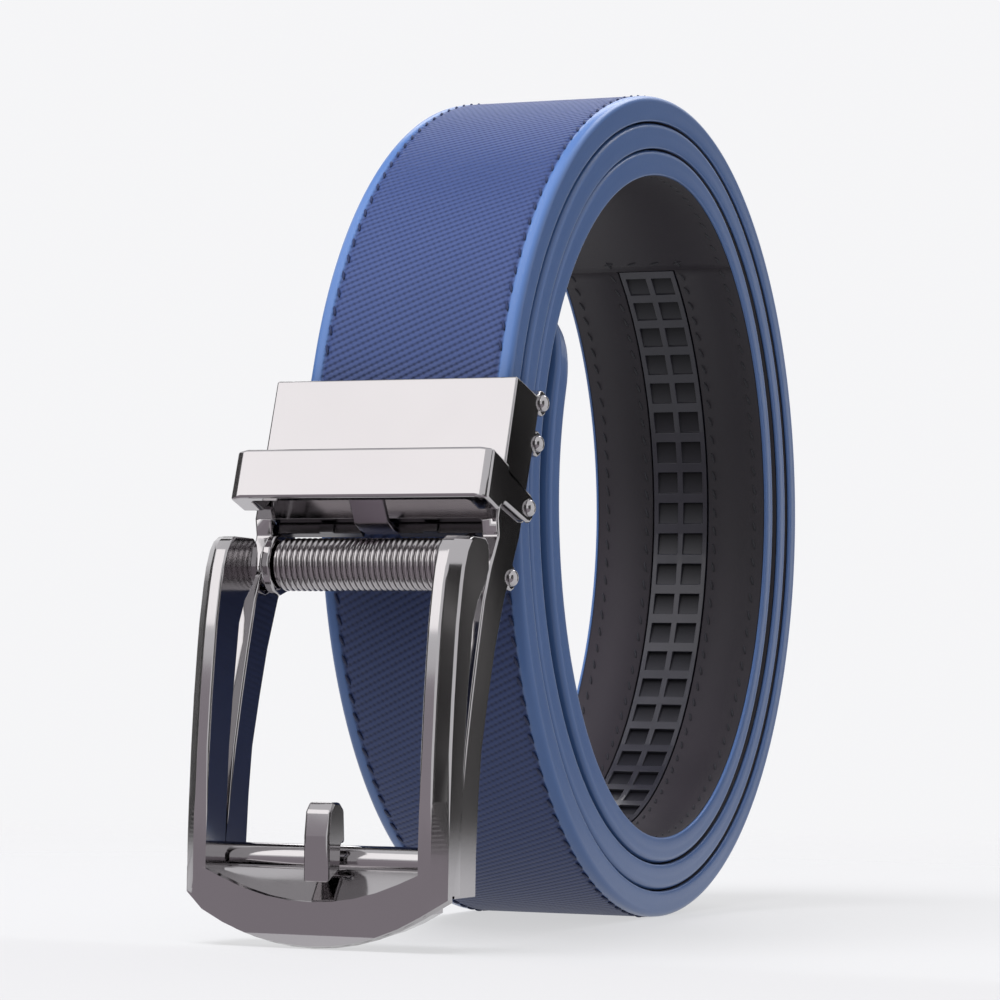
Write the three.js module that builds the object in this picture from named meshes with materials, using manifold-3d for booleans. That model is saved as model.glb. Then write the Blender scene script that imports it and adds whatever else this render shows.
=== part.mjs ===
// Ratchet belt, rolled up: a leather strap coiled in three turns with its buckle hanging in front.
// Millimetres. X is the strap's width, -Y is the front where the buckle is, +Z is up, the floor is Z = 0.
import * as THREE from 'three';
import { mergeVertices } from 'three/addons/utils/BufferGeometryUtils.js';
import Module from 'manifold-3d';

const wasm = await Module();
wasm.setup();

// Strap
const STRAP_WIDTH = 35;
const STRAP_THICKNESS = 4.5;
const LINING_THICKNESS = 1.1;
const LINING_MARGIN = 0.5;
const TAIL_TIP_LENGTH = 16;
const TAIL_TIP_HALF_WIDTH = 9;
const LAYER_GAP = 0.2;
const GLUE_LINE = 0.1;

// Coil
const COIL_HEIGHT = 144.9;
const COIL_BACK_REACH = 75.3;
const COIL_FRONT_REACH = 79.2;
const COIL_STEPS_PER_TURN = 64;
const COIL_START_TURN = 0.042;
const COIL_END_TURN = 3.092;
// Extra room between a turn and the turn outside it, as shares of the strap's thickness.
const SLACK = { front: [0.4, 0.02, 0.9], back: [0.48, 0.72] };

// Ratchet track
const TOOTH_PITCH = 6.35;
const TOOTH_COUNT = 37;
const TRACK_WIDTH = 10.8;
const TRACK_THICKNESS = 1.0;
const TRACK_FLOOR = 0.35;
const TRACK_RAIL = 1.0;
const TRACK_SPINE = 1.3;
const TRACK_BAR = 1.9;
const TRACK_SIDE_GAP = 0.3;
const TRACK_BACK_TURN = 2.35;

// Buckle
const FRAME_LENGTH = 65.65;
const BUCKLE_LEAN = THREE.MathUtils.degToRad(18);
const FRAME_SIDE_STEP = 0.85;
const ARM_WIDTH = 4.1;
const ARM_FRONT_FLAT = 2.1;
const ARM_CHAMFER_DEPTH = 2;
const HOUSING_HALF_WIDTH = 20.75;
const SIDE_PLAY = 0.4;
const COVER_TOP = 6.4;
const COVER_LENGTH = 23.7;
const COVER_STANDOFF = 4.5;
const COVER_THICKNESS = 2;
const WALL_BACK_MARGIN = 1.5;
const BASE_PLATE_THICKNESS = 1;
const STRAP_GRIP_LENGTH = 20;
const CLAMP_GAP = 0.3;
const JAW_REACH = 1.6;
const JAW_LUG_SPACING = 8.85;
const JAW_LUG_WIDTH = 2.5;
const JAW_LUG_HEIGHT = 0.7;

// Bow and crossbar
const BOW_RADIUS = 35;
const BOW_HEIGHT = 7;
const BOW_BACK_HEIGHT = 11.7;
const BOW_DEPTH = 7.4;
const BOW_RIM = 1.7;
const BOW_LEDGE_FRONT_HEIGHT = 6.2;
const BOW_SOLE_RISE = 0.4;
const BOW_STEPS = 12;
const CROSSBAR_HEIGHT = 4.8;
const CROSSBAR_DEPTH = 4.8;
const CROSSBAR_TOP = 15.3;
const CROSSBAR_SIDES = 12;
const PRONG_WIDTH = 4.2;
const PRONG_SEAT_GAP = 0.3;

// Lever, roller and pins
const LEVER_HEIGHT = 8.2;
const LEVER_DROP = -0.4;
const LEVER_STANDOFF = 8.2;
const LEVER_WALL = 1.8;
const LEVER_PLATE_GAP = 0.45;
const LEVER_FOOT_BEVEL = 1.8;
const LEVER_CORNER_WIDTH = 2;
const EAR_SIDE_GAP = 0.23;
const EAR_THICKNESS = 0.77;
const EAR_RADIUS = 2.4;
const PAWL_WIDTH = 5.8;
const PAWL_HUB_RADIUS = 2.1;
const PIN_RADIUS = 0.95;
const PIN_HOLE_GAP = 0.15;
const RIVET_HEAD_RADIUS = 1.4;
const RIVET_HEAD_HEIGHT = 1;
const RIVET_WALL_LEFT = 0.5;
const RIVET_BOSS_RADIUS = 2.1;
const HEAD_SEAT_GAP = 0.05;
const ROLLER_RADIUS = 4.2;
const ROLLER_HALF_LENGTH = 15.5;
const ROLLER_RIB_PITCH = 1.2;
const ROLLER_RIB_DEPTH = 0.3;
const ROLLER_BORE_GAP = 0.3;
const ROLLER_PIN_RADIUS = 1.3;
const ROLLER_END_GAP = 0.3;
const HUB_RADIUS = 4.9;
const HUB_NECK_RADIUS = 3.2;
const HUB_LENGTH = 1.5;
const ROLLER_PIN_SEAT = 1.5;
const ROUND_SIDES = 12;

// Places on the clamp: past counts down from the cover's top, below from its foot, out is away from the strap's face.
const RIVET_UPPER = { past: -0.15, out: -7 };
const RIVET_MIDDLE = { past: 6.7, out: -7.2 };
const LEVER_PIVOT = { below: -5.2, out: -4.9 };
const PAWL_OUTLINE = [
  { below: 1.2, out: 0.4 },
  { below: 1.6, out: 3.2 },
  { below: 1.3, out: 5.5 },
  { below: -2, out: 9.5 },
  { below: -2.8, out: 8.7 },
  { below: 0.4, out: 4.9 },
  { below: 0.4, out: 1.5 },
];
// Places on the frame: drop below the cover's foot and reach in front of it, as shares of the frame's length.
const RIVET_LOWER = { drop: 0.1381, reach: -0.0943 };
const ROLLER_AXIS = { drop: 0.1106, reach: 0.0009 };

const LEG_SECTIONS = [
  { drop: 0.0141, front: -0.0166, back: -0.1479 },
  { drop: 0.0422, front: -0.0085, back: -0.1412 },
  { drop: 0.1186, front: 0.0398, back: -0.0956 },
  { drop: 0.195, front: 0.0759, back: -0.0513 },
  { drop: 0.3156, front: 0.1115, back: 0.0023 },
  { drop: 0.4309, front: 0.143, back: 0.0398 },
  { drop: 0.5449, front: 0.1712, back: 0.0733 },
  { drop: 0.6589, front: 0.194, back: 0.0934 },
  { drop: 0.7889, front: 0.2153, back: 0.1028 },
  { drop: 0.88, front: 0.2274, back: 0.1028 },
];
const ARM_SECTIONS = [
  { drop: 0.0516, front: 0.1993, back: 0.1014 },
  { drop: 0.0637, front: 0.2248, back: 0.084 },
  { drop: 0.0852, front: 0.2435, back: 0.0773 },
  { drop: 0.1254, front: 0.2623, back: 0.0773 },
  { drop: 0.1642, front: 0.273, back: 0.1014 },
  { drop: 0.2031, front: 0.281, back: 0.143 },
  { drop: 0.2554, front: 0.2918, back: 0.1698 },
  { drop: 0.3156, front: 0.2998, back: 0.1791 },
  { drop: 0.4309, front: 0.3126, back: 0.1966 },
  { drop: 0.5449, front: 0.3212, back: 0.21 },
  { drop: 0.6589, front: 0.3266, back: 0.2208 },
  { drop: 0.7728, front: 0.3266, back: 0.2261 },
  { drop: 0.8719, front: 0.3247, back: 0.2261 },
];
// Height above the crossbar's top and reach, as shares of the frame's length.
const PRONG_OUTLINE = [
  { rise: -0.089, reach: 0.2958 },
  { rise: 0.018, reach: 0.2985 },
  { rise: 0.075, reach: 0.2904 },
  { rise: 0.095, reach: 0.2717 },
  { rise: 0.095, reach: 0.2368 },
  { rise: 0.078, reach: 0.2127 },
  { rise: 0, reach: 0.206 },
  { rise: 0, reach: 0.2261 },
  { rise: -0.06, reach: 0.2301 },
];

const LEATHER = { color: 0x2f4f8c, roughness: 0.55, metalness: 0 };
const LINING = { color: 0x2b2a2d, roughness: 0.7, metalness: 0 };
const TRACK = { color: 0x3a3b40, roughness: 0.45, metalness: 0 };
const GUNMETAL = { color: 0x8b878d, roughness: 0.12, metalness: 1 };

const belt = new THREE.Group();

function addPiece(name, geometry, finish) {
  const mesh = new THREE.Mesh(geometry, new THREE.MeshStandardMaterial(finish));
  mesh.name = name;
  belt.add(mesh);
}

function toSolid(geometry) {
  const bare = geometry.clone();
  bare.deleteAttribute('normal');
  bare.deleteAttribute('uv');
  const merged = mergeVertices(bare, 1e-4);
  return new wasm.Manifold(new wasm.Mesh({
    numProp: 3,
    vertProperties: new Float32Array(merged.attributes.position.array),
    triVerts: new Uint32Array(merged.index.array),
  }));
}

function toGeometry(solid) {
  const mesh = solid.getMesh();
  const geometry = new THREE.BufferGeometry();
  geometry.setAttribute('position', new THREE.BufferAttribute(new Float32Array(mesh.vertProperties), 3));
  geometry.setIndex(new THREE.BufferAttribute(new Uint32Array(mesh.triVerts), 1));
  geometry.computeVertexNormals();
  return geometry;
}

// A closed body through rings of points, each ring convex and turning the same way round.
function loft(rings) {
  const size = rings[0].length;
  const index = [];
  for (let k = 0; k + 1 < rings.length; k += 1) {
    for (let i = 0; i < size; i += 1) {
      const a = k * size + i;
      const b = k * size + ((i + 1) % size);
      index.push(a, b, b + size, a, b + size, a + size);
    }
  }
  const last = (rings.length - 1) * size;
  for (let i = 1; i + 1 < size; i += 1) {
    index.push(0, i + 1, i);
    index.push(last, last + i, last + i + 1);
  }
  const geometry = new THREE.BufferGeometry();
  const points = rings.flat().flatMap((p) => [p.x, p.y, p.z]);
  geometry.setAttribute('position', new THREE.Float32BufferAttribute(points, 3));
  geometry.setIndex(index);
  geometry.computeVertexNormals();
  return geometry;
}

// A side outline of { y, z } points, made into a plate from one X to another.
function sidePlate(outline, xFrom, xTo) {
  const shape = new THREE.Shape(outline.map((p) => new THREE.Vector2(p.y, p.z)));
  const geometry = new THREE.ExtrudeGeometry(shape, { depth: xTo - xFrom, bevelEnabled: false });
  const turn = new THREE.Matrix4().makeBasis(
    new THREE.Vector3(0, 1, 0),
    new THREE.Vector3(0, 0, 1),
    new THREE.Vector3(1, 0, 0),
  );
  return geometry.applyMatrix4(turn).translate(xFrom, 0, 0);
}

// A round body about an axis along X, from { r, x } points that start and end on the axis or close on themselves.
function turned(profile, centre) {
  const points = profile.map((p) => new THREE.Vector2(p.r, p.x));
  const geometry = new THREE.LatheGeometry(points, ROUND_SIDES);
  return geometry.rotateZ(-Math.PI / 2).translate(0, centre.y, centre.z);
}

function cylinderX(radius, xFrom, xTo, centre) {
  const profile = [{ r: 0, x: xFrom }, { r: radius, x: xFrom }, { r: radius, x: xTo }, { r: 0, x: xTo }];
  return turned(profile, centre);
}

function mirrored(solid) {
  return solid.mirror([1, 0, 0]);
}

// Strap path. The turn count runs from the clamp over the top, down the back and under, and so on inwards.
const coilReach = COIL_HEIGHT / 2;
// The lowest facet lies on the floor.
const coilCentre = coilReach * Math.cos(Math.PI / COIL_STEPS_PER_TURN);
const layerPitch = STRAP_THICKNESS + LAYER_GAP;

// Reach of the outer face at the quarter turns: front, top, back, bottom, front and so on.
function quarterReach(quarter) {
  const side = ((quarter % 4) + 4) % 4;
  const turn = Math.floor(quarter / 4);
  if (side === 1 || side === 3) {
    return coilReach - turn * layerPitch;
  }
  const slack = side === 0 ? SLACK.front : SLACK.back;
  const outermost = side === 0 ? COIL_FRONT_REACH : COIL_BACK_REACH;
  const taken = slack.slice(0, turn).reduce((sum, share) => sum + share, 0);
  return outermost - turn * layerPitch - taken * STRAP_THICKNESS;
}

function outerPoint(turn) {
  const quarter = Math.floor(turn * 4 + 1e-9);
  const angle = turn * 2 * Math.PI;
  const first = quarterReach(quarter);
  const second = quarterReach(quarter + 1);
  const frontBack = quarter % 2 === 0 ? first : second;
  const topBottom = quarter % 2 === 0 ? second : first;
  const share = Math.hypot(Math.cos(angle) / frontBack, Math.sin(angle) / topBottom);
  return { y: -Math.cos(angle) / share, z: coilCentre + Math.sin(angle) / share };
}

function outwardAt(turn) {
  const step = 0.25 / COIL_STEPS_PER_TURN;
  const before = outerPoint(turn - step);
  const after = outerPoint(turn + step);
  const length = Math.hypot(after.y - before.y, after.z - before.z);
  return { y: -(after.z - before.z) / length, z: (after.y - before.y) / length };
}

const entry = outerPoint(COIL_START_TURN);
const downCover = { y: -Math.sin(BUCKLE_LEAN), z: -Math.cos(BUCKLE_LEAN) };
const outOfCover = { y: -Math.cos(BUCKLE_LEAN), z: Math.sin(BUCKLE_LEAN) };

// A point of the clamp, from how far down the cover it lies and how far out of the strap's face.
function clampPoint(along, out) {
  return {
    y: entry.y + along * downCover.y + out * outOfCover.y,
    z: entry.z + along * downCover.z + out * outOfCover.z,
  };
}

const coverBottom = COVER_TOP + COVER_LENGTH;
const coverFoot = clampPoint(coverBottom, COVER_STANDOFF);

// A point of the frame, from its drop below the cover's foot and its reach in front of it.
function framePoint(drop, reach) {
  return { y: coverFoot.y - reach * FRAME_LENGTH, z: coverFoot.z - drop * FRAME_LENGTH };
}

const bowBase = framePoint(1, 0).z;

// Stations along the strap: the straight run in the clamp, then the turns.
function strapStations() {
  const stations = [{ ...clampPoint(STRAP_GRIP_LENGTH, 0), out: outOfCover, turn: null }];
  const firstStep = Math.ceil(COIL_START_TURN * COIL_STEPS_PER_TURN + 0.5);
  stations.push({ ...entry, out: outOfCover, turn: COIL_START_TURN });
  // Half a step aside, so that one facet lies level on the floor.
  for (let k = firstStep; (k + 0.5) / COIL_STEPS_PER_TURN < COIL_END_TURN - 0.003; k += 1) {
    const turn = (k + 0.5) / COIL_STEPS_PER_TURN;
    stations.push({ ...outerPoint(turn), out: outwardAt(turn), turn });
  }
  stations.push({ ...outerPoint(COIL_END_TURN), out: outwardAt(COIL_END_TURN), turn: COIL_END_TURN });
  let length = 0;
  stations.forEach((s, k) => {
    if (k > 0) {
      length += Math.hypot(s.y - stations[k - 1].y, s.z - stations[k - 1].z);
    }
    s.length = length;
  });
  return stations;
}

const stations = strapStations();
const strapLength = stations.at(-1).length;

// The station at a length along the strap, between two of the list.
function stationAt(length) {
  const k = Math.max(1, stations.findIndex((s) => s.length >= length));
  const a = stations[k - 1];
  const b = stations[k];
  const t = (length - a.length) / (b.length - a.length);
  const mix = (p, q) => p + (q - p) * t;
  return { y: mix(a.y, b.y), z: mix(a.z, b.z), out: { y: mix(a.out.y, b.out.y), z: mix(a.out.z, b.out.z) }, length };
}

// A four-cornered section of the strap between two depths below its outer face.
function strapSection(station, halfWidth, depthTop, depthBottom) {
  const at = (x, depth) => new THREE.Vector3(x, station.y - station.out.y * depth, station.z - station.out.z * depth);
  return [at(-halfWidth, depthTop), at(halfWidth, depthTop), at(halfWidth, depthBottom), at(-halfWidth, depthBottom)];
}

// The strap narrows in a quarter oval at its tail.
function tailHalfWidth(length, fullHalfWidth) {
  const beyond = length - (strapLength - TAIL_TIP_LENGTH);
  if (beyond <= 0) {
    return fullHalfWidth;
  }
  const tip = Math.min(TAIL_TIP_HALF_WIDTH, fullHalfWidth);
  const share = Math.min(1, beyond / TAIL_TIP_LENGTH);
  return tip + (fullHalfWidth - tip) * Math.sqrt(1 - share * share);
}

function strapBand(halfWidth, depthTop, depthBottom, fromLength, toLength) {
  const inside = stations.filter((s) => s.length > fromLength + 0.5 && s.length < toLength - 0.5);
  const tail = [0.5, 0.8, 0.93].map((share) => strapLength - TAIL_TIP_LENGTH * (1 - share));
  const extra = tail.filter((length) => length < toLength - 0.5 && length > fromLength).map(stationAt);
  const all = [stationAt(fromLength), ...inside, ...extra, stationAt(toLength)];
  all.sort((a, b) => a.length - b.length);
  const spread = all.filter((s, k) => k === 0 || s.length - all[k - 1].length > 0.3);
  return loft(spread.map((s) => strapSection(s, tailHalfWidth(s.length, halfWidth), depthTop, depthBottom)));
}

const leatherThickness = STRAP_THICKNESS - LINING_THICKNESS - GLUE_LINE;
addPiece('strap', strapBand(STRAP_WIDTH / 2, 0, leatherThickness, 0, strapLength), LEATHER);

// Ratchet track
const trackEnd = stations.find((s) => s.turn !== null && s.turn >= TRACK_BACK_TURN).length;
const trackLength = TOOTH_COUNT * TOOTH_PITCH + TRACK_BAR;
const slotHalfWidth = TRACK_WIDTH / 2 + TRACK_SIDE_GAP;

function liningWithSlot() {
  const liningFrom = STRAP_GRIP_LENGTH + GLUE_LINE;
  const liningTo = strapLength - LINING_MARGIN;
  const halfWidth = STRAP_WIDTH / 2 - LINING_MARGIN;
  const lining = strapBand(halfWidth, leatherThickness + GLUE_LINE, STRAP_THICKNESS, liningFrom, liningTo);
  const slotFrom = trackEnd - TRACK_SIDE_GAP;
  const slotTo = trackEnd + trackLength + TRACK_SIDE_GAP;
  const slot = strapBand(slotHalfWidth, leatherThickness, STRAP_THICKNESS + LINING_THICKNESS, slotFrom, slotTo);
  return toGeometry(toSolid(lining).subtract(toSolid(slot)));
}

addPiece('strap_lining', liningWithSlot(), LINING);

// Heights of the track's face above the strap, across it and along it.
function trackRows() {
  const edges = [TRACK_RAIL, (TRACK_WIDTH - TRACK_SPINE) / 2, (TRACK_WIDTH + TRACK_SPINE) / 2, TRACK_WIDTH - TRACK_RAIL];
  const step = 0.12;
  const across = [{ x: 0, open: false }];
  edges.forEach((x, k) => {
    across.push({ x: x - (k % 2 ? 0 : step), open: k % 2 === 1 }, { x: x + (k % 2 ? step : 0), open: k % 2 === 0 });
  });
  across.push({ x: TRACK_WIDTH, open: false });
  const along = [{ at: 0, depth: 0 }];
  for (let k = 0; k < TOOTH_COUNT; k += 1) {
    const start = k * TOOTH_PITCH;
    along.push({ at: start + TRACK_BAR, depth: 0 });
    along.push({ at: start + TRACK_BAR + step, depth: 1 });
    along.push({ at: start + TOOTH_PITCH - step, depth: 0.45 });
    along.push({ at: start + TOOTH_PITCH, depth: 0 });
  }
  along.push({ at: trackLength, depth: 0 });
  return { across, along };
}

function trackBody() {
  const { across, along } = trackRows();
  const lift = leatherThickness + GLUE_LINE;
  const deep = TRACK_THICKNESS - TRACK_FLOOR;
  const rings = along.map((row) => {
    const s = stationAt(trackEnd + row.at);
    const at = (x, height) => {
      const depth = lift + height;
      return new THREE.Vector3(x - TRACK_WIDTH / 2, s.y - s.out.y * depth, s.z - s.out.z * depth);
    };
    const back = [at(0, 0), at(TRACK_WIDTH, 0)];
    const face = across.map((c) => at(c.x, TRACK_THICKNESS - (c.open ? row.depth * deep : 0))).reverse();
    return [...back, ...face];
  });
  return loft(rings);
}

addPiece('ratchet_track', trackBody(), TRACK);

// Buckle body
const wallInner = STRAP_WIDTH / 2 + SIDE_PLAY;
const frameHalfWidth = HOUSING_HALF_WIDTH + FRAME_SIDE_STEP;
const windowHalfWidth = frameHalfWidth - ARM_WIDTH;
const flatHalfWidth = windowHalfWidth + ARM_FRONT_FLAT;
const wallBack = -(STRAP_THICKNESS + WALL_BACK_MARGIN);
const rollerAxis = framePoint(ROLLER_AXIS.drop, ROLLER_AXIS.reach);
const lowerRivet = framePoint(RIVET_LOWER.drop, RIVET_LOWER.reach);
const upperRivet = clampPoint(COVER_TOP + RIVET_UPPER.past, RIVET_UPPER.out);
const middleRivet = clampPoint(COVER_TOP + RIVET_MIDDLE.past, RIVET_MIDDLE.out);
const pivotAlong = coverBottom + LEVER_PIVOT.below;
const leverPivot = clampPoint(pivotAlong, LEVER_PIVOT.out);

function coverPlate() {
  const outline = [
    clampPoint(COVER_TOP, COVER_STANDOFF - COVER_THICKNESS),
    clampPoint(coverBottom, COVER_STANDOFF - COVER_THICKNESS),
    clampPoint(coverBottom, COVER_STANDOFF),
    clampPoint(COVER_TOP, COVER_STANDOFF),
  ];
  return toSolid(sidePlate(outline, -HOUSING_HALF_WIDTH, HOUSING_HALF_WIDTH));
}

function sideWall() {
  const legTop = LEG_SECTIONS[1];
  const outline = [
    clampPoint(COVER_TOP - 0.6, wallBack),
    framePoint(legTop.drop, legTop.back),
    framePoint(legTop.drop, legTop.front),
    clampPoint(coverBottom, COVER_STANDOFF),
    clampPoint(COVER_TOP, COVER_STANDOFF),
  ];
  return toSolid(sidePlate(outline, wallInner, HOUSING_HALF_WIDTH));
}

function leg() {
  const rings = LEG_SECTIONS.map((s) => {
    const front = framePoint(s.drop, s.front);
    const back = framePoint(s.drop, s.back);
    const at = (x, p) => new THREE.Vector3(x, p.y, p.z);
    return [at(wallInner, front), at(wallInner, back), at(HOUSING_HALF_WIDTH, back), at(HOUSING_HALF_WIDTH, front)];
  });
  return toSolid(loft(rings));
}

function arm() {
  const rings = ARM_SECTIONS.map((s) => {
    const front = framePoint(s.drop, s.front);
    const back = framePoint(s.drop, s.back);
    const at = (x, y) => new THREE.Vector3(x, y, front.z);
    return [
      at(windowHalfWidth, front.y),
      at(windowHalfWidth, back.y),
      at(frameHalfWidth, back.y),
      at(frameHalfWidth, front.y + ARM_CHAMFER_DEPTH),
      at(flatHalfWidth, front.y),
    ];
  });
  return toSolid(loft(rings));
}

const bowFront = framePoint(0, ARM_SECTIONS.at(-2).front).y;

function bowRise(x) {
  return BOW_RADIUS - Math.sqrt(BOW_RADIUS ** 2 - x ** 2);
}

// The bow's front rim: its sole and its inner edge are arcs, and its ends turn back as the arms' chamfers do.
function bowRim() {
  const rings = [];
  for (let k = 0; k <= BOW_STEPS; k += 1) {
    const x = frameHalfWidth * (1 - (2 * k) / BOW_STEPS);
    const rise = bowBase + bowRise(x);
    const top = Math.min(rise + BOW_HEIGHT, bowBase + BOW_BACK_HEIGHT);
    const side = Math.max(0, Math.abs(x) - flatHalfWidth);
    const front = bowFront + (side * ARM_CHAMFER_DEPTH) / (frameHalfWidth - flatHalfWidth);
    const back = bowFront + BOW_RIM + ARM_CHAMFER_DEPTH * (side > 0 ? 1 : 0);
    rings.push([
      new THREE.Vector3(x, front, rise + BOW_SOLE_RISE),
      new THREE.Vector3(x, front, top),
      new THREE.Vector3(x, back, top),
      new THREE.Vector3(x, back, rise),
    ]);
  }
  return toSolid(loft(rings));
}

// Behind the rim the bow's back rises in one flat slope to a straight edge.
function bowBack() {
  const halfWidth = (windowHalfWidth + flatHalfWidth) / 2;
  const rings = [];
  for (let k = 0; k <= BOW_STEPS; k += 1) {
    const x = halfWidth * (1 - (2 * k) / BOW_STEPS);
    const rise = bowBase + bowRise(x);
    const front = bowFront + BOW_RIM / 2;
    const back = bowFront + BOW_DEPTH;
    rings.push([
      new THREE.Vector3(x, front, rise + BOW_SOLE_RISE / 2),
      new THREE.Vector3(x, front, bowBase + BOW_LEDGE_FRONT_HEIGHT),
      new THREE.Vector3(x, back, bowBase + BOW_BACK_HEIGHT),
      new THREE.Vector3(x, back, rise + BOW_SOLE_RISE),
    ]);
  }
  return toSolid(loft(rings));
}

const crossbarFront = framePoint(0, LEG_SECTIONS.at(-2).front).y;
const crossbarTop = bowBase + CROSSBAR_TOP;

// A round bar between the legs' feet.
function crossbar() {
  const outline = [];
  for (let k = 0; k < CROSSBAR_SIDES; k += 1) {
    const angle = (2 * Math.PI * (k + 0.5)) / CROSSBAR_SIDES;
    outline.push({
      y: crossbarFront + (CROSSBAR_DEPTH / 2) * (1 + Math.cos(angle)),
      z: crossbarTop - (CROSSBAR_HEIGHT / 2) * (1 - Math.sin(angle)),
    });
  }
  const halfWidth = (wallInner + HOUSING_HALF_WIDTH) / 2;
  return toSolid(sidePlate(outline, -halfWidth, halfWidth));
}

const rivetRoot = wallInner + RIVET_WALL_LEFT;

function buckleBody() {
  const hubFace = ROLLER_HALF_LENGTH + ROLLER_END_GAP;
  const neckFrom = hubFace + HUB_LENGTH / 2;
  let side = sideWall().add(leg()).add(arm());
  side = side.add(toSolid(cylinderX(HUB_RADIUS, hubFace, hubFace + HUB_LENGTH, rollerAxis)));
  side = side.add(toSolid(cylinderX(HUB_NECK_RADIUS, neckFrom, wallInner + RIVET_WALL_LEFT, rollerAxis)));
  const pinHole = PIN_RADIUS + PIN_HOLE_GAP;
  [upperRivet, middleRivet, lowerRivet].forEach((centre) => {
    const boss = cylinderX(RIVET_BOSS_RADIUS, wallInner, HOUSING_HALF_WIDTH, centre);
    const hole = cylinderX(pinHole, rivetRoot - PIN_HOLE_GAP, HOUSING_HALF_WIDTH + 2, centre);
    side = side.add(toSolid(boss)).subtract(toSolid(hole));
  });
  side = side.add(toSolid(cylinderX(EAR_RADIUS, wallInner, HOUSING_HALF_WIDTH, leverPivot)));
  side = side.subtract(toSolid(cylinderX(pinHole, wallInner - 2, HOUSING_HALF_WIDTH + 2, leverPivot)));
  const rollerSeat = hubFace + ROLLER_PIN_SEAT + PIN_HOLE_GAP;
  side = side.subtract(toSolid(cylinderX(ROLLER_PIN_RADIUS + PIN_HOLE_GAP, hubFace - 2, rollerSeat, rollerAxis)));
  return side.add(mirrored(side)).add(coverPlate()).add(bowRim()).add(bowBack()).add(crossbar());
}

addPiece('buckle_body', toGeometry(buckleBody()), GUNMETAL);

// Clamp pieces around the strap's end, drawn upright and then leant with the cover
function upright(along, out) {
  return { y: -out, z: -along };
}

function leant(geometry) {
  return geometry.rotateX(-BUCKLE_LEAN).translate(0, entry.y, entry.z);
}

function uprightPlate(from, to, inner, outer) {
  return [upright(from, inner), upright(to, inner), upright(to, outer), upright(from, outer)];
}

function clampJaw() {
  const near = CLAMP_GAP;
  const far = COVER_STANDOFF - COVER_THICKNESS - CLAMP_GAP;
  const half = STRAP_WIDTH / 2;
  const foot = coverBottom + JAW_REACH;
  const slotHalf = PAWL_WIDTH / 2 + CLAMP_GAP;
  const lug = uprightPlate(coverBottom + CLAMP_GAP, foot, near, far + JAW_LUG_HEIGHT);
  const slot = uprightPlate(coverBottom - JAW_REACH, foot + 1, near - 1, far + JAW_LUG_HEIGHT + 1);
  let jaw = toSolid(sidePlate(uprightPlate(COVER_TOP + 1, foot, near, far), -half, half));
  [-1, 1].forEach((hand) => {
    const centre = hand * JAW_LUG_SPACING;
    jaw = jaw.add(toSolid(sidePlate(lug, centre - JAW_LUG_WIDTH / 2, centre + JAW_LUG_WIDTH / 2)));
  });
  return leant(toGeometry(jaw.subtract(toSolid(sidePlate(slot, -slotHalf, slotHalf)))));
}

addPiece('clamp_jaw', clampJaw(), GUNMETAL);

const basePlateFace = -STRAP_THICKNESS - CLAMP_GAP;
const basePlate = uprightPlate(COVER_TOP, STRAP_GRIP_LENGTH, basePlateFace - BASE_PLATE_THICKNESS, basePlateFace);
const basePlateHalfWidth = wallInner - CLAMP_GAP;
addPiece('clamp_base_plate', leant(sidePlate(basePlate, -basePlateHalfWidth, basePlateHalfWidth)), GUNMETAL);

// Release lever: a loop over the cover with two ears on the pin
const earInner = HOUSING_HALF_WIDTH + EAR_SIDE_GAP;
const leverHalfWidth = earInner + EAR_THICKNESS;

function releaseLever() {
  const bottom = coverBottom + LEVER_DROP;
  const top = bottom - LEVER_HEIGHT;
  const backFace = COVER_STANDOFF + LEVER_PLATE_GAP;
  const frontFace = COVER_STANDOFF + LEVER_STANDOFF;
  const pivot = upright(pivotAlong, LEVER_PIVOT.out);
  const corner = frontFace - LEVER_WALL / 2;
  const flatReach = leverHalfWidth - LEVER_CORNER_WIDTH;
  const bar = [
    { x: leverHalfWidth, front: corner },
    { x: flatReach, front: frontFace },
    { x: -flatReach, front: frontFace },
    { x: -leverHalfWidth, front: corner },
  ].map(({ x, front }) => {
    const outline = uprightPlate(bottom, top, front, frontFace - LEVER_WALL);
    return outline.map((p) => new THREE.Vector3(x, p.y, p.z));
  });
  const cheek = [
    upright(top, backFace),
    upright(bottom - LEVER_FOOT_BEVEL, backFace),
    upright(bottom, backFace + LEVER_FOOT_BEVEL),
    upright(bottom, corner),
    upright(top, corner),
  ];
  const ear = [
    upright(pivotAlong - EAR_RADIUS, LEVER_PIVOT.out),
    upright(pivotAlong + EAR_RADIUS, LEVER_PIVOT.out),
    upright(bottom - LEVER_FOOT_BEVEL, backFace + LEVER_FOOT_BEVEL),
    upright(pivotAlong - EAR_RADIUS, backFace + LEVER_FOOT_BEVEL),
  ];
  const ring = toSolid(cylinderX(EAR_RADIUS, earInner, leverHalfWidth, pivot));
  const hole = toSolid(cylinderX(PIN_RADIUS + PIN_HOLE_GAP, earInner - 1, leverHalfWidth + 1, pivot));
  const cheekSolid = toSolid(sidePlate(cheek, wallInner + 0.3, leverHalfWidth));
  const earSolid = toSolid(sidePlate(ear, earInner, leverHalfWidth));
  const side = cheekSolid.add(earSolid).add(ring).subtract(hole);
  return leant(toGeometry(toSolid(loft(bar)).add(side).add(mirrored(side))));
}

addPiece('release_lever', releaseLever(), GUNMETAL);

function domedPin(halfLength, headSeat) {
  const dome = [0, 0.5, 0.85].map((share) => ({
    r: RIVET_HEAD_RADIUS * Math.sqrt(1 - share * share),
    x: headSeat + RIVET_HEAD_HEIGHT * share,
  }));
  const tip = { r: 0, x: headSeat + RIVET_HEAD_HEIGHT };
  return { dome, tip, halfLength };
}

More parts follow.
